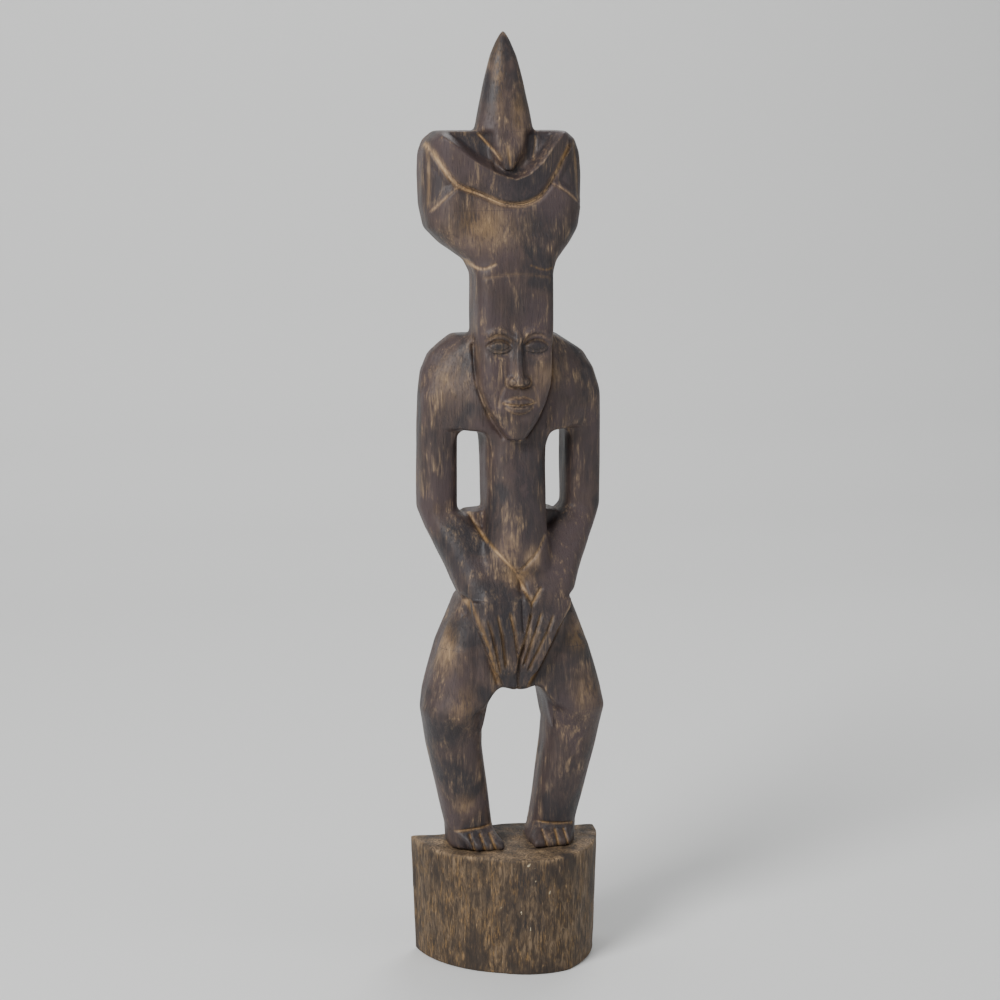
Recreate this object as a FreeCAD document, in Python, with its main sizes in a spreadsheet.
"""Carved ancestor figure: one half-round log, worked into a standing figure on its own plinth.

Frame: +Z up, -Y the figure's front, the flat back of the log on +Y, origin under the middle of the plinth.
"right" and "left" are the figure's own sides, so right is -X. All sizes are millimetres.
The carving is a single block. Each sub-part is the stretch that a carver works as one form, and it meets
its neighbours face to face.
"""
import FreeCAD
import Part
import Sketcher
import math
import os
from FreeCAD import Placement, Rotation, Vector

# ---------------------------------------------------------------- driving dimensions

# Heights, from the floor up: each level is so much above the one before it.
RISES = {
    "plinth_top": 79.0,
    "ankle": 14.0,
    "calf": 56.0,
    "knee": 24.5,
    "crotch": 12.5,
    "hip": 30.0,
    "waist": 33.5,
    "wrist": 22.0,
    "window": 20.5,
    "elbow": 14.0,
    "armpit": 53.0,
    "deltoid": 22.0,
    "shoulder": 16.0,
    "collar": 10.0,
    "nape": 11.0,
    "crown": 41.5,
    "flare": 8.5,
    "spread": 10.0,
    "cheek": 10.5,
    "side": 14.0,
    "brim": 20.0,
    "corner": 13.0,
    "bevel": 8.0,
    "top": 5.5,
    "horn_low": 14.5,
    "horn_mid": 16.0,
    "horn_high": 17.0,
    "horn_neck": 8.5,
    "horn_tip": 7.0,
}

TIED = None  # has no size of its own: it takes the size of the form that it joins

# Limb sections on the left side, mirrored for the right. inner and outer are distances from the middle
# plane, front and back are distances from the origin's plane towards -Y and +Y, then the corner rounds.
LIMB_FIELDS = ("inner", "outer", "front", "back", "outer_round", "inner_round", "back_round")
LIMBS = {
    "sole": (10.5, 42.5, 5.0, 27.0, 13.0, 6.0, 9.0),
    "ankle": (13.5, 44.0, 3.0, 27.0, 13.0, 12.5, 12.5),
    "calf": (21.4, 56.4, 11.0, 31.0, 16.5, 16.0, 16.0),
    "knee": (22.4, 60.6, 18.0, 29.0, 18.0, 17.0, 17.0),
    "thigh": (TIED, 58.6, TIED, 31.0, 22.0, 2.0, 16.0),
    "hip": (TIED, 49.2, 16.0, 34.0, 19.0, 2.0, 14.0),
    "waist_arm": (0.0, 36.8, 24.0, 10.0, 16.0, 3.0, 8.0),
    "wrist": (4.0, 45.0, 15.0, 24.0, 16.0, 5.0, 12.0),
    "window": (20.4, 55.2, 5.0, 30.0, 16.0, 6.0, 12.0),
    "elbow": (36.2, 60.2, -2.0, 33.0, 11.0, 9.0, 11.0),
    "armpit": (36.2, 60.2, -1.0, 33.0, 11.0, 8.0, 11.0),
    "deltoid": (TIED, 59.2, 1.0, 33.0, 10.5, 2.0, 10.5),
    "shoulder": (TIED, 54.2, -1.0, 33.0, 8.0, 2.0, 8.0),
    "collar": (TIED, 45.5, -5.0, 31.0, 4.2, 2.0, 4.2),
}

# Sections on the middle plane: half width, front and back, front and back rounds.
TRUNK_FIELDS = ("half", "front", "back", "front_round", "back_round")
TRUNKS = {
    "crotch_tip": (5.0, 10.0, 9.0, 1.0, 4.5),
    "crotch_low": (11.6, 10.0, 18.0, 1.0, 7.0),
    "crotch_top": (12.0, 10.0, 30.0, 1.0, 4.0),
    "waist": (36.6, 14.0, 31.0, 18.0, 17.0),
    "loin": (31.0, 13.0, 28.0, 16.0, 16.0),
    "navel": (25.0, 21.0, 26.0, 16.0, 13.0),
    "belly": (19.6, 23.0, 26.0, 16.0, 13.0),
    "ribs": (19.0, 22.0, 27.0, 16.0, 13.0),
    "sternum": (19.8, 16.0, 30.0, 14.0, 12.0),
    "chest_low": (TIED, 15.0, 33.0, 15.0, 6.0),
    "chest": (TIED, 14.0, 33.0, 14.0, 6.0),
    "chest_high": (TIED, 8.0, 30.0, 12.0, 8.0),
    "neck_low": (TIED, 6.0, 29.5, 6.0, 6.0),
    "neck_top": (32.5, 8.0, 24.0, 7.0, 7.0),
    "nape": (24.6, 9.0, 15.0, 1.0, 9.0),
    "crown": (24.6, 9.0, 16.0, 1.0, 9.0),
    "flare": (28.0, 23.0, 22.0, 14.0, 12.0),
    "spread": (40.2, 21.5, 26.0, 20.0, 14.0),
    "cheek": (48.6, 19.5, 29.0, 20.0, 14.0),
    "side": (51.2, 17.5, 31.0, 20.0, 14.0),
    "brim": (51.8, 14.5, 32.0, 18.0, 13.0),
    "corner": (50.8, 12.0, 32.0, 15.0, 12.0),
    "bevel": (47.8, 10.0, 31.0, 13.0, 11.0),
    "top": (41.6, 7.0, 28.0, 11.0, 10.0),
    "horn_root": (18.4, 14.0, 15.0, 12.5, 12.5),
    "horn_low": (15.8, 12.0, 14.0, 11.5, 11.5),
    "horn_mid": (12.4, 9.0, 12.5, 9.6, 9.6),
    "horn_high": (8.2, 5.4, 10.0, 6.8, 6.8),
    "horn_neck": (4.7, 2.2, 7.0, 4.0, 4.0),
    "horn_tip": (0.9, -1.6, 3.6, 0.8, 0.8),
    "chin": (5.5, 27.0, -9.0, 5.0, 1.0),
    "jaw": (13.4, 29.0, -9.0, 8.0, 1.0),
    "mouth": (19.0, 29.0, -9.0, 9.0, 1.0),
    "cheekbone": (22.8, 27.0, -9.0, 9.0, 1.0),
    "temple": (24.6, 26.0, -9.0, 8.0, 1.0),
    "hairline": (24.6, 24.0, -9.0, 8.0, 1.0),
}

OTHERS = {
    # plinth: a split log's plan, with a flat back, a bowed front and two flanks
    "plinth_width": 127.0,
    "plinth_depth": 70.0,
    "plinth_taper": 3.0,
    "plinth_edge": 0.8,
    "plinth_bow": 48.0,
    "plinth_bow_middle": 11.0,
    "plinth_bow_right": -14.0,
    "plinth_bow_left": 30.0,
    "right_flank_curve": 74.0,
    "left_flank_curve": 82.0,
    # the head, headdress and horn lean to the figure's right by so much off the middle plane
    "head_lean": 3.4,
    "bonnet_lean": 7.9,
    "horn_lean": 7.0,
    # face, by thirds from the hairline down
    "hairline_to_brow": 35.0,
    "brow_to_nose": 35.0,
    "nose_to_chin": 35.0,
    "nose_to_mouth": 12.0,
    "chin_to_jaw": 12.0,
    "nose_half_width": 6.4,
    "bridge_half_width": 2.6,
    "nose_stand": 5.4,
    "bridge_stand": 2.0,
    "eye_spacing": 11.6,
    "eye_half_width": 7.4,
    "eye_half_height": 3.2,
    "eye_drop": 9.5,
    "eye_stand": 1.6,
    "brow_half_width": 9.4,
    "brow_height": 3.0,
    "brow_stand": 2.0,
    "lip_half_width": 8.8,
    "lip_height": 4.4,
    "lip_stand": 2.6,
    "feature_root": 3.0,
    # crescent roll on the headdress, and the horn's wedge that runs down into it
    "crescent_thickness": 20.0,
    "crescent_drop": 41.0,
    "crescent_stand": 5.0,
    "crescent_inset": 1.0,
    "horn_wedge_length": 24.0,
    "horn_wedge_half": 2.6,
    # lap: a flat panel across the hips and between the thighs, which the hands lie on
    "lap_front": 17.0,
    "lap_back": 10.0,
    "lap_round": 1.0,
    "lap_half_waist": 34.0,
    "lap_half_knuckles": 28.0,
    "lap_half_crotch": 12.4,
    "lap_half_tip": 5.0,
    "lap_tip_drop": 2.5,
    # hands: the right lies over the left
    "knuckle_drop": 20.5,
    "hand_stand": 28.0,
    "hand_round": 4.0,
    "right_hand_width": 28.0,
    "left_hand_width": 22.5,
    "finger_count": 4,
    "finger_gap": 0.5,
    "finger_round": 1.2,
    "finger_tip_stand": 22.0,
    "finger_drop": 42.0,
    "right_tip_outer": -12.0,
    "right_tip_inner": -4.2,
    "left_tip_outer": 4.0,
    "left_tip_inner": -3.8,
    # toes, each shorter than the one on its inner side
    "toe_count": 4,
    "toe_inner": 9.5,
    "toe_outer": 34.0,
    "toe_gap": 0.8,
    "toe_length": 10.0,
    "toe_step": 1.4,
    "toe_root": 6.0,
    "toe_height": 7.5,
    "toe_slope": 3.0,
    "toe_round": 1.4,
}

HALF_LIMIT = 0.92  # the largest share of a half width or half depth that a corner round may take


class Size:
    """A length that carries its number and the spreadsheet expression that gives it."""

    def __init__(self, number, text):
        self.number = number
        self.text = text

    def _with(self, other, sign, result):
        if not isinstance(other, Size):
            other = Size(other, repr(float(other)))
        return Size(result(self.number, other.number), f"({self.text} {sign} {other.text})")

    def __add__(self, other):
        return self._with(other, "+", lambda a, b: a + b)

    def __sub__(self, other):
        return self._with(other, "-", lambda a, b: a - b)

    def __mul__(self, other):
        return self._with(other, "*", lambda a, b: a * b)

    def __truediv__(self, other):
        return self._with(other, "/", lambda a, b: a / b)


def least(*sizes):
    """The smallest of several sizes, as the spreadsheet's own min."""
    return Size(min(s.number for s in sizes), "min(" + "; ".join(s.text for s in sizes) + ")")


doc = FreeCAD.newDocument("AncestorFigure")
sheet = doc.addObject("Spreadsheet::Sheet", "Sizes")
sizes = {}


def write_cells(named):
    """Puts each named number in a cell of its own and keeps it as a Size."""
    for name, number in named.items():
        if number is TIED:
            continue
        row = len(sizes) + 1
        sheet.set(f"A{row}", name)
        sheet.set(f"B{row}", str(number))
        sheet.setAlias(f"B{row}", name)
        sizes[name] = Size(float(number), f"Sizes.{name}")


write_cells({f"rise_to_{name}": rise for name, rise in RISES.items()})
for table, fields in ((LIMBS, LIMB_FIELDS), (TRUNKS, TRUNK_FIELDS)):
    for station, numbers in table.items():
        prefix = f"limb_{station}" if table is LIMBS else station
        write_cells({f"{prefix}_{field}": number for field, number in zip(fields, numbers)})
write_cells(OTHERS)
doc.recompute()


def level(name):
    """Height of a level above the floor: the sum of the rises up to it."""
    names = list(RISES)
    total = sizes[f"rise_to_{names[0]}"]
    for step in names[1 : names.index(name) + 1]:
        total = total + sizes[f"rise_to_{step}"]
    return total


# ---------------------------------------------------------------- sections and solids


class Section:
    """A rounded quadrilateral in a level plane: its height, its four sides and its four corner rounds."""

    def __init__(self, height, low_x, high_x, front, back, rounds):
        self.height = height
        self.centre_x = (low_x + high_x) / 2
        self.centre_y = (back - front) / 2
        self.half_width = (high_x - low_x) / 2
        self.half_depth = (front + back) / 2
        limit = least(self.half_width, self.half_depth) * HALF_LIMIT
        # front low-x, front high-x, back high-x, back low-x
        self.rounds = [least(r, limit) for r in rounds]


def limb_section(station, height, side, inner=None, front=None):
    """A limb's section on one side; inner and front can be tied to a neighbour's."""

    def get(field):
        return sizes[f"limb_{station}_{field}"]

    inner, outer = inner or get("inner"), get("outer")
    front, back = front or get("front"), get("back")
    inner_round, outer_round, back_round = get("inner_round"), get("outer_round"), get("back_round")
    if side > 0:
        rounds = (inner_round, outer_round, back_round, back_round)
        return Section(height, inner, outer, front, back, rounds)
    rounds = (outer_round, inner_round, back_round, back_round)
    return Section(height, outer * -1, inner * -1, front, back, rounds)


def trunk_section(station, height, lean=None, proud=None, half=None):
    """A section on the middle plane, or off it by the lean; proud adds to its front."""

    def get(field):
        return sizes[f"{station}_{field}"]

    half = half or get("half")
    front = get("front") + proud if proud else get("front")
    low, high = (half * -1, half) if lean is None else (half * -1 - lean, half - lean)
    rounds = (get("front_round"), get("front_round"), get("back_round"), get("back_round"))
    return Section(height, low, high, front, get("back"), rounds)


def strip(height, low_x, high_x, front, back, rounding):
    """A section between two widths with the same small round on all its corners."""
    return Section(height, low_x, high_x, front, back, (sizes[rounding],) * 4)


def origin_plane(body, role):
    return next(f for f in body.Origin.OriginFeatures if f.Role == role)


def new_sketch(body, name, role="XY_Plane"):
    sketch = body.newObject("Sketcher::SketchObject", name)
    sketch.AttachmentSupport = [(origin_plane(body, role), "")]
    sketch.MapMode = "FlatFace"
    return sketch


def add_named(sketch, name, constraint, size):
    """Adds a dimension and binds it to the spreadsheet."""
    sketch.renameConstraint(sketch.addConstraint(constraint), name)
    sketch.setExpression(f"Constraints.{name}", size.text)


def draw_section(body, name, section):
    """Four lines and four tangent corner arcs, fully constrained about the sketch's own origin."""
    sketch = new_sketch(body, name)
    sketch.setExpression("AttachmentOffset.Base.x", section.centre_x.text)
    sketch.setExpression("AttachmentOffset.Base.y", section.centre_y.text)
    sketch.setExpression("AttachmentOffset.Base.z", section.height.text)
    w, d = section.half_width.number, section.half_depth.number
    corners = [(-w, -d), (w, -d), (w, d), (-w, d)]
    inward = [(1, 1), (-1, 1), (-1, -1), (1, -1)]
    radii = [r.number for r in section.rounds]
    centres = [
        Vector(x + i * r, y + j * r, 0) for (x, y), (i, j), r in zip(corners, inward, radii)
    ]
    arcs, lines = [], []
    for k, (centre, r) in enumerate(zip(centres, radii)):
        start = math.pi * (1 + k / 2)
        arcs.append(Part.ArcOfCircle(Part.Circle(centre, Vector(0, 0, 1), r), start, start + math.pi / 2))
    for k, arc in enumerate(arcs):
        lines.append(Part.LineSegment(arc.EndPoint, arcs[(k + 1) % 4].StartPoint))
    sketch.addGeometry(arcs)
    sketch.addGeometry(lines)
    made = []
    for k in range(4):
        made.append(Sketcher.Constraint("Tangent", k, 2, 4 + k, 1))
        made.append(Sketcher.Constraint("Tangent", 4 + k, 2, (k + 1) % 4, 1))
    made += [Sketcher.Constraint("Horizontal", 4), Sketcher.Constraint("Vertical", 5)]
    made += [Sketcher.Constraint("Horizontal", 6), Sketcher.Constraint("Vertical", 7)]
    sketch.addConstraint(made)
    for k, corner in enumerate(("front_low", "front_high", "back_high", "back_low")):
        add_named(sketch, corner, Sketcher.Constraint("Radius", k, radii[k]), section.rounds[k])
    half_width, half_depth = section.half_width, section.half_depth
    add_named(sketch, "ahead", Sketcher.Constraint("DistanceY", 4, 1, -1, 1, d), half_depth)
    add_named(sketch, "right", Sketcher.Constraint("DistanceX", -1, 1, 5, 1, w), half_width)
    add_named(sketch, "behind", Sketcher.Constraint("DistanceY", -1, 1, 6, 1, d), half_depth)
    add_named(sketch, "left", Sketcher.Constraint("DistanceX", 7, 1, -1, 1, w), half_width)
    return sketch


def carve(label, sections):
    """One form of the carving: straight knife cuts from each section to the next."""
    body = doc.addObject("PartDesign::Body", label)
    body.Label = label
    sketches = [draw_section(body, f"{label}_section{k}", s) for k, s in enumerate(sections)]
    loft = body.newObject("PartDesign::AdditiveLoft", f"{label}_loft")
    loft.Profile = (sketches[0], [""])
    loft.Sections = [(s, [""]) for s in sketches[1:]]
    loft.Ruled = True
    return body


def cut_away(label, base, *tools):
    """base without what its neighbours already fill."""
    for k, tool in enumerate(tools):
        cut = doc.addObject("Part::Cut", f"{label}_cut{k}")
        cut.Base = base
        cut.Tool = tool
        base = cut
    base.Label = label
    return base


def group(label, members):
    """Separate solids that share one node."""
    compound = doc.addObject("Part::Compound", label)
    compound.Links = members
    compound.Label = label
    return compound


SIDES = {"right": -1, "left": 1}
nodes = {}

# ---------------------------------------------------------------- plinth


def log_plan(body, name, height, taper, edge):
    """The split log's plan: a chord at the back, a bow across the front, and a curved flank each side."""
    sketch = new_sketch(body, name)
    sketch.setExpression("AttachmentOffset.Base.z", height.text)
    half = sizes["plinth_width"] / 2 - taper - edge
    rear = sizes["plinth_depth"] / 2 - edge
    bow = sizes["plinth_bow"] - edge
    middle = sizes["plinth_bow_middle"]
    bow_back = bow - rear
    right_end, left_end = sizes["plinth_bow_right"], sizes["plinth_bow_left"]
    centre = Vector(middle.number, bow_back.number, 0)

    def on_bow(x):
        across = x - centre.x
        return Vector(x, centre.y - math.sqrt(bow.number**2 - across**2), 0)

    def flank(start, end, curve):
        """The short arc from start to end, anticlockwise, of this radius."""
        chord = end - start
        rise = math.sqrt(curve**2 - (chord.Length / 2) ** 2)
        hub = (start + end) / 2 + Vector(-chord.y, chord.x, 0).normalize() * rise
        angles = [math.atan2(p.y - hub.y, p.x - hub.x) for p in (start, end)]
        return Part.ArcOfCircle(Part.Circle(hub, Vector(0, 0, 1), curve), *angles)

    back_right, back_left = Vector(-half.number, rear.number, 0), Vector(half.number, rear.number, 0)
    bow_right, bow_left = on_bow(right_end.number), on_bow(left_end.number)
    bow_angles = [math.atan2(p.y - centre.y, p.x - centre.x) for p in (bow_right, bow_left)]
    sketch.addGeometry(
        [
            Part.LineSegment(back_left, back_right),
            flank(back_right, bow_right, OTHERS["right_flank_curve"]),
            Part.ArcOfCircle(Part.Circle(centre, Vector(0, 0, 1), bow.number), *bow_angles),
            flank(bow_left, back_left, OTHERS["left_flank_curve"]),
        ]
    )
    joined = [Sketcher.Constraint("Coincident", k, 2, (k + 1) % 4, 1) for k in range(4)]
    sketch.addConstraint(joined + [Sketcher.Constraint("Horizontal", 0)])
    h, r = half.number, rear.number
    add_named(sketch, "left", Sketcher.Constraint("DistanceX", -1, 1, 0, 1, h), half)
    add_named(sketch, "right", Sketcher.Constraint("DistanceX", 0, 2, -1, 1, h), half)
    add_named(sketch, "behind", Sketcher.Constraint("DistanceY", -1, 1, 0, 1, r), rear)
    add_named(sketch, "bow", Sketcher.Constraint("Radius", 2, bow.number), bow)
    add_named(sketch, "bow_x", Sketcher.Constraint("DistanceX", -1, 1, 2, 3, centre.x), middle)
    add_named(sketch, "bow_y", Sketcher.Constraint("DistanceY", -1, 1, 2, 3, centre.y), bow_back)
    right_reach = right_end * -1
    add_named(sketch, "end_r", Sketcher.Constraint("DistanceX", 2, 1, -1, 1, -bow_right.x), right_reach)
    add_named(sketch, "end_l", Sketcher.Constraint("DistanceX", -1, 1, 2, 2, bow_left.x), left_end)
    for k, name in ((1, "right_flank_curve"), (3, "left_flank_curve")):
        add_named(sketch, name, Sketcher.Constraint("Radius", k, OTHERS[name]), sizes[name])
    return sketch


def make_plinth():
    """The log's foot, a little narrower at the floor, with its sawn edges broken."""
    body = doc.addObject("PartDesign::Body", "plinth")
    top, edge, taper = level("plinth_top"), sizes["plinth_edge"], sizes["plinth_taper"]
    none = Size(0.0, "0")
    foot = log_plan(body, "plinth_foot", none, taper, edge)
    low = log_plan(body, "plinth_low", edge, taper, none)
    high = log_plan(body, "plinth_high", top - edge, none, none)
    rim = log_plan(body, "plinth_rim", top, none, edge)
    loft = body.newObject("PartDesign::AdditiveLoft", "plinth_loft")
    loft.Profile = (foot, [""])
    loft.Sections = [(s, [""]) for s in (low, high, rim)]
    loft.Ruled = True
    body.Label = "plinth"
    return body


# ---------------------------------------------------------------- lap


def make_lap():
    """The panel that the hands lie on: it tapers from the waist down between the thighs."""
    levels = {
        "tip": level("crotch") - sizes["lap_tip_drop"],
        "crotch": level("crotch"),
        "knuckles": level("waist") - sizes["knuckle_drop"],
        "waist": level("waist"),
    }
    front, back = sizes["lap_front"], sizes["lap_back"] * -1
    sections = []
    for name, height in levels.items():
        half = sizes[f"lap_half_{name}"]
        sections.append(strip(height, half * -1, half, front, back, "lap_round"))
    return carve("lap", sections)


# ---------------------------------------------------------------- legs


def make_toes(side_name, side):
    """Four short toes in a row ahead of the sole, sloped down at the front."""
    count, foot = int(OTHERS["toe_count"]), nodes[f"{side_name}_foot"]
    inner = sizes["toe_inner"]
    pitch = (sizes["toe_outer"] - inner) / count
    floor, front = level("plinth_top"), sizes["limb_sole_front"]
    root = sizes["toe_root"] - front
    toes = []
    for k in range(count):
        low = inner + pitch * k + sizes["toe_gap"] / 2
        high = inner + pitch * (k + 1) - sizes["toe_gap"] / 2
        if side < 0:
            low, high = high * -1, low * -1
        tip = front + sizes["toe_length"] - sizes["toe_step"] * k
        flat = strip(floor, low, high, tip, root, "toe_round")
        blunt = strip(floor + sizes["toe_height"] / 2, low, high, tip, root, "toe_round")
        sloped = strip(
            floor + sizes["toe_height"], low, high, tip - sizes["toe_slope"], root, "toe_round"
        )
        form = carve(f"{side_name}_toe{k}_form", [flat, blunt, sloped])
        toes.append(cut_away(f"{side_name}_toe{k}", form, foot))
    return group(f"{side_name}_toes", toes)


def make_leg(side_name, side):
    """Foot, shin and thigh of one side, stacked on the plinth."""
    seam = sizes["crotch_top_half"]
    sole = limb_section("sole", level("plinth_top"), side)
    ankle = limb_section("ankle", level("ankle"), side)
    calf = limb_section("calf", level("calf"), side)
    knee = limb_section("knee", level("knee"), side)
    thigh = limb_section("thigh", level("crotch"), side, inner=seam, front=sizes["lap_front"])
    hip = limb_section("hip", level("hip"), side, inner=seam)
    nodes[f"{side_name}_foot"] = carve(f"{side_name}_foot", [sole, ankle])
    nodes[f"{side_name}_toes"] = make_toes(side_name, side)
    nodes[f"{side_name}_shin"] = carve(f"{side_name}_shin", [ankle, calf, knee])
    thigh_form = carve(f"{side_name}_thigh_form", [knee, thigh, hip])
    nodes[f"{side_name}_thigh"] = cut_away(f"{side_name}_thigh", thigh_form, nodes["lap"])


# ---------------------------------------------------------------- trunk


def make_trunk():
    """Crotch, hips, belly, chest and neck on the middle plane."""
    crotch = level("crotch")
    nodes["crotch"] = carve(
        "crotch",
        [
            trunk_section("crotch_tip", crotch - sizes["lap_tip_drop"]),
            trunk_section("crotch_low", crotch),
            trunk_section("crotch_top", level("hip")),
        ],
    )
    hips_low = Section(
        level("hip"),
        sizes["limb_hip_outer"] * -1,
        sizes["limb_hip_outer"],
        sizes["limb_hip_front"],
        sizes["limb_hip_back"],
        (sizes["limb_hip_outer_round"], sizes["limb_hip_outer_round"])
        + (sizes["limb_hip_back_round"], sizes["limb_hip_back_round"]),
    )
    hips = carve("hips_form", [hips_low, trunk_section("waist", level("waist"))])
    nodes["hips"] = cut_away("hips", hips, nodes["lap"])
    belly = carve(
        "belly_form",
        [
            trunk_section("loin", level("waist")),
            trunk_section("navel", level("wrist")),
            trunk_section("belly", level("window")),
            trunk_section("ribs", level("elbow")),
            trunk_section("sternum", level("armpit")),
        ],
    )
    arm_edge = sizes["limb_armpit_inner"]
    nodes["chest"] = carve(
        "chest",
        [
            trunk_section("chest_low", level("armpit"), half=arm_edge),
            trunk_section("chest", level("deltoid"), half=arm_edge),
            trunk_section("chest_high", level("collar"), half=arm_edge),
        ],
    )
    neck_half = sizes["limb_collar_outer"]
    nodes["neck"] = carve(
        "neck",
        [
            trunk_section("neck_low", level("collar"), half=neck_half),
            trunk_section("neck_top", level("nape")),
        ],
    )
    return belly


# ---------------------------------------------------------------- arms


def make_arm(side_name, side):
    """Shoulder, upper arm and forearm of one side."""
    arm_edge = sizes["limb_armpit_inner"]
    armpit = limb_section("armpit", level("armpit"), side)
    nodes[f"{side_name}_shoulder"] = carve(
        f"{side_name}_shoulder",
        [
            armpit,
            limb_section("deltoid", level("deltoid"), side, inner=arm_edge),
            limb_section("shoulder", level("shoulder"), side, inner=arm_edge),
            limb_section("collar", level("collar"), side, inner=arm_edge),
        ],
    )
    elbow = limb_section("elbow", level("elbow"), side)
    nodes[f"{side_name}_upper_arm"] = carve(f"{side_name}_upper_arm", [elbow, armpit])
    nodes[f"{side_name}_forearm"] = carve(
        f"{side_name}_forearm",
        [
            limb_section("waist_arm", level("waist"), side),
            limb_section("wrist", level("wrist"), side),
            limb_section("window", level("window"), side),
            elbow,
        ],
    )


def make_hand(side_name, side):
    """The back of the hand on the lap, and four fingers that run down towards the middle."""
    count = int(OTHERS["finger_count"])
    back = sizes["lap_front"] * -1
    knuckles = level("waist") - sizes["knuckle_drop"]
    middle = Size(0.0, "0")

    def between(height, a, b, stand, rounding):
        low, high = (a, b) if side > 0 else (b, a)
        return strip(height, low, high, stand, back, rounding)

    outer_wrist = sizes["limb_waist_arm_outer"] * side
    outer_root = sizes[f"{side_name}_hand_width"] * side
    wrist_stand, stand = sizes["limb_waist_arm_front"], sizes["hand_stand"]
    nodes[f"{side_name}_hand"] = carve(
        f"{side_name}_hand",
        [
            between(knuckles, middle, outer_root, stand, "hand_round"),
            between(level("waist"), middle, outer_wrist, wrist_stand, "hand_round"),
        ],
    )
    tip_inner, tip_outer = sizes[f"{side_name}_tip_inner"], sizes[f"{side_name}_tip_outer"]
    fingers = []
    for k in range(count):
        gap = sizes["finger_gap"] / 2 * side
        root_a = outer_root / count * k + gap
        root_b = outer_root / count * (k + 1) - gap
        tip_a = tip_inner + (tip_outer - tip_inner) / count * k + gap
        tip_b = tip_inner + (tip_outer - tip_inner) / count * (k + 1) - gap
        tips = knuckles - sizes["finger_drop"]
        tip = between(tips, tip_a, tip_b, sizes["finger_tip_stand"], "finger_round")
        root = between(knuckles, root_a, root_b, stand, "finger_round")
        fingers.append(carve(f"{side_name}_finger{k}", [tip, root]))
    nodes[f"{side_name}_fingers"] = group(f"{side_name}_fingers", fingers)


# ---------------------------------------------------------------- head


def face_level(*drops):
    height = level("crown")
    for name in drops:
        height = height - sizes[name]
    return height


def make_face():
    """A long shield of a face that overhangs the chest, and the features that stand on it."""
    lean = sizes["head_lean"]
    brow = face_level("hairline_to_brow")
    nose = face_level("hairline_to_brow", "brow_to_nose")
    mouth = nose - sizes["nose_to_mouth"]
    chin = nose - sizes["nose_to_chin"]
    form = carve(
        "face_form",
        [
            trunk_section("chin", chin, lean),
            trunk_section("jaw", chin + sizes["chin_to_jaw"], lean),
            trunk_section("mouth", mouth, lean),
            trunk_section("cheekbone", nose, lean),
            trunk_section("temple", brow, lean),
            trunk_section("hairline", level("crown"), lean),
        ],
    )
    nodes["face"] = cut_away("face", form, nodes["belly"], nodes["chest"], nodes["neck"])
    root = sizes["feature_root"]

    def feature(name, low, high, front_low, front_high, half_low, half_high, centre=None):
        """A small form that stands on the face between two heights."""
        middle = lean * -1 if centre is None else centre - lean
        sections = []
        for height, surface, half, stand in (
            (low, front_low[0], half_low, front_low[1]),
            (high, front_high[0], half_high, front_high[1]),
        ):
            sections.append(
                Section(
                    height,
                    middle - half,
                    middle + half,
                    sizes[surface] + stand,
                    (sizes[surface] - root) * -1,
                    (sizes["finger_round"],) * 4,
                )
            )
        return carve(f"{name}_form", sections)

    def seated(name, form_body):
        return cut_away(name, form_body, nodes["face"])

    bridge_top = feature(
        "nose",
        nose,
        brow,
        ("cheekbone_front", sizes["nose_stand"]),
        ("temple_front", sizes["bridge_stand"]),
        sizes["nose_half_width"],
        sizes["bridge_half_width"],
    )
    nodes["nose"] = seated("nose", bridge_top)
    eye_level = brow - sizes["eye_drop"]
    for side_name, side in SIDES.items():
        at = sizes["eye_spacing"] * side
        eye = feature(
            f"{side_name}_eye",
            eye_level - sizes["eye_half_height"],
            eye_level + sizes["eye_half_height"],
            ("temple_front", sizes["eye_stand"]),
            ("temple_front", sizes["eye_stand"]),
            sizes["eye_half_width"],
            sizes["eye_half_width"],
            centre=at,
        )
        nodes[f"{side_name}_eye"] = seated(f"{side_name}_eye", eye)
        brow_form = feature(
            f"{side_name}_brow",
            brow,
            brow + sizes["brow_height"],
            ("temple_front", sizes["brow_stand"]),
            ("temple_front", sizes["brow_stand"]),
            sizes["brow_half_width"],
            sizes["brow_half_width"],
            centre=at,
        )
        nodes[f"{side_name}_brow"] = cut_away(
            f"{side_name}_brow", brow_form, nodes["face"], nodes["nose"]
        )
    upper = feature(
        "upper_lip",
        mouth,
        mouth + sizes["lip_height"],
        ("mouth_front", sizes["lip_stand"]),
        ("mouth_front", sizes["lip_stand"]),
        sizes["lip_half_width"],
        sizes["lip_half_width"] / 2,
    )
    nodes["upper_lip"] = seated("upper_lip", upper)
    lower = feature(
        "lower_lip",
        mouth - sizes["lip_height"],
        mouth,
        ("mouth_front", sizes["lip_stand"]),
        ("mouth_front", sizes["lip_stand"]),
        sizes["lip_half_width"] / 2,
        sizes["lip_half_width"],
    )
    nodes["lower_lip"] = seated("lower_lip", lower)


BONNET = ("flare", "spread", "cheek", "side", "brim", "corner", "bevel", "top")


def bonnet_sections(proud=None):
    """The headdress: it grows out of the crown of the head and flares to a flat top."""
    lean, half = sizes["head_lean"], sizes["hairline_half"]
    rounds = [sizes["hairline_front_round"]] * 2 + [sizes["crown_back_round"]] * 2
    edges = (half * -1 - lean, half - lean, sizes["hairline_front"], sizes["crown_back"])
    found = [Section(level("crown"), *edges, rounds)]
    further = sizes["bonnet_lean"] - lean
    for k, station in enumerate(BONNET):
        shift = lean + further * min(1.0, k / 2)
        found.append(trunk_section(station, level(station), shift, proud))
    return found


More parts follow.
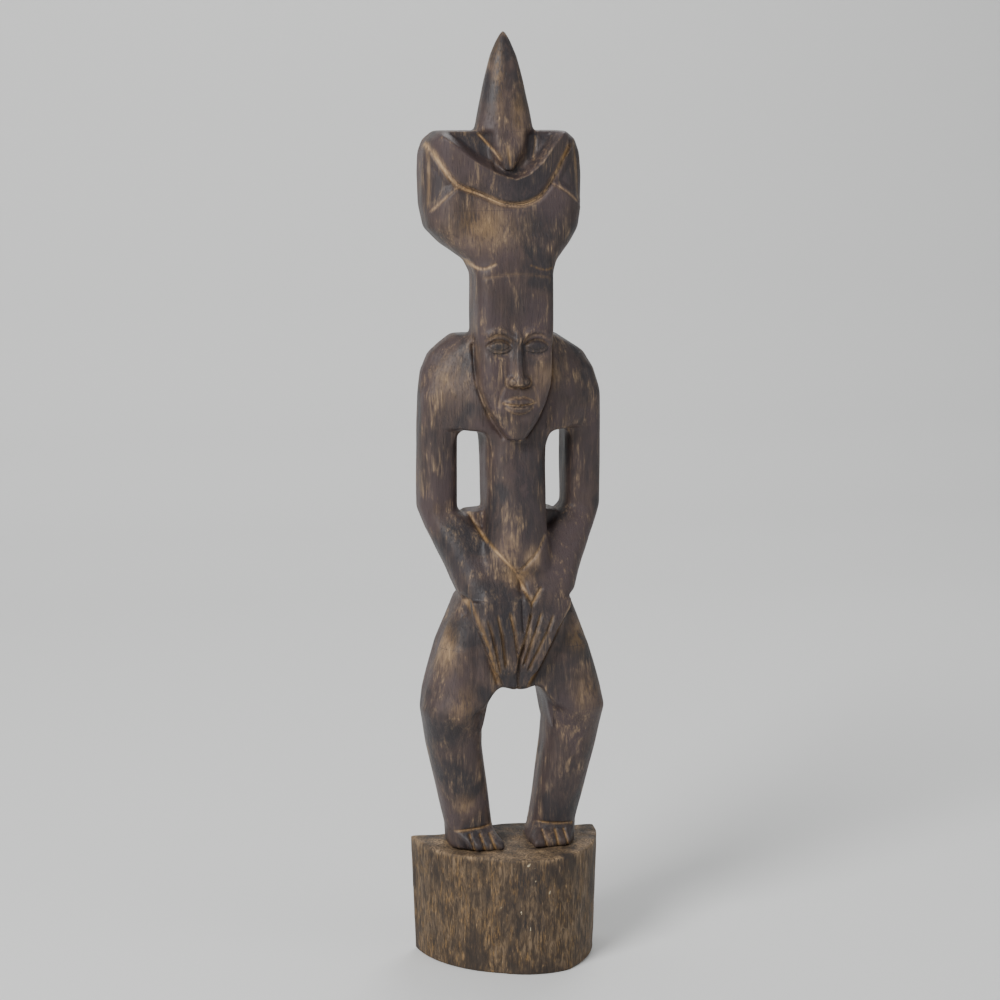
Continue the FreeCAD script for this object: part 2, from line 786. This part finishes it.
def crescent_outline(body):
    """A crescent in the front plane: two arcs that share the headdress's upper corners."""
    sketch = new_sketch(body, "crescent_outline", "XZ_Plane")
    sketch.setExpression("AttachmentOffset.Base.x", (sizes["bonnet_lean"] * -1).text)
    sketch.setExpression("AttachmentOffset.Base.y", level("bevel").text)
    half = sizes["bevel_half"] - sizes["crescent_inset"]
    low = sizes["crescent_drop"]
    high = low - sizes["crescent_thickness"]
    w, a, b = half.number, low.number, high.number
    sketch.addGeometry(Part.Arc(Vector(-w, 0, 0), Vector(0, -a, 0), Vector(w, 0, 0)))
    sketch.addGeometry(Part.Arc(Vector(-w, 0, 0), Vector(0, -b, 0), Vector(w, 0, 0)))
    sketch.addConstraint(
        [
            Sketcher.Constraint("Coincident", 0, 1, 1, 1),
            Sketcher.Constraint("Coincident", 0, 2, 1, 2),
            Sketcher.Constraint("Horizontal", 0, 1, 0, 2),
            Sketcher.Constraint("PointOnObject", 0, 1, -1),
        ]
    )
    add_named(sketch, "right", Sketcher.Constraint("DistanceX", -1, 1, 0, 2, w), half)
    add_named(sketch, "left", Sketcher.Constraint("DistanceX", 0, 1, -1, 1, w), half)
    for k, (name, sag) in enumerate((("outer", low), ("inner", high))):
        radius = (half * half + sag * sag) / (sag * 2)
        add_named(sketch, name, Sketcher.Constraint("Radius", k, radius.number), radius)
    return sketch


def make_headdress():
    """Bonnet, crescent roll and horn."""
    nodes["cranium"] = carve(
        "cranium",
        [
            trunk_section("nape", level("nape"), sizes["head_lean"]),
            trunk_section("crown", level("crown"), sizes["head_lean"]),
        ],
    )
    nodes["bonnet"] = carve("bonnet", bonnet_sections())
    proud = carve("bonnet_proud", bonnet_sections(sizes["crescent_stand"])[1:])
    body = doc.addObject("PartDesign::Body", "crescent_blank")
    outline = crescent_outline(body)
    pad = body.newObject("PartDesign::Pad", "crescent_pad")
    pad.Profile = outline
    pad.setExpression("Length", sizes["plinth_depth"].text)
    common = doc.addObject("Part::Common", "crescent_common")
    common.Base = proud
    common.Tool = body
    nodes["crescent"] = cut_away("crescent", common, nodes["bonnet"])
    lean = sizes["horn_lean"]
    wedge = sizes["horn_wedge_half"]
    foot = Section(
        level("top") - sizes["horn_wedge_length"],
        wedge * -1 - lean,
        wedge - lean,
        sizes["brim_front"] + sizes["crescent_stand"],
        sizes["brim_back"] - sizes["brim_front"],
        (sizes["finger_round"],) * 4,
    )
    rest = [
        trunk_section(name, level("top" if name == "horn_root" else name), lean)
        for name in ("horn_root", "horn_low", "horn_mid", "horn_high", "horn_neck", "horn_tip")
    ]
    horn = carve("horn_form", [foot] + rest)
    nodes["horn"] = cut_away("horn", horn, nodes["bonnet"], nodes["crescent"])


# ---------------------------------------------------------------- the whole figure

nodes["plinth"] = make_plinth()
nodes["lap"] = make_lap()
for side_name, side in SIDES.items():
    make_leg(side_name, side)
belly_form = make_trunk()
for side_name, side in SIDES.items():
    make_arm(side_name, side)
nodes["belly"] = cut_away("belly", belly_form, nodes["right_forearm"], nodes["left_forearm"])
for side_name, side in SIDES.items():
    make_hand(side_name, side)
make_headdress()
make_face()
doc.recompute()

failed = [
    o.Name for o in doc.Objects if any(word in o.State for word in ("Invalid", "Error"))
]
if failed:
    raise SystemExit(f"these features failed: {failed}")
os.makedirs("parts", exist_ok=True)
for name, node in nodes.items():
    shape = node.Shape
    if shape.isNull() or not shape.isValid() or not shape.Solids:
        raise SystemExit(f"{name} has no valid solid")
    shape.exportStep(f"parts/{name}.step")
    box = shape.BoundBox
    print(
        f"{name}: {len(shape.Solids)} solid(s), {shape.Volume / 1000:.1f} cm3, "
        f"z {box.ZMin:.1f} to {box.ZMax:.1f}"
    )
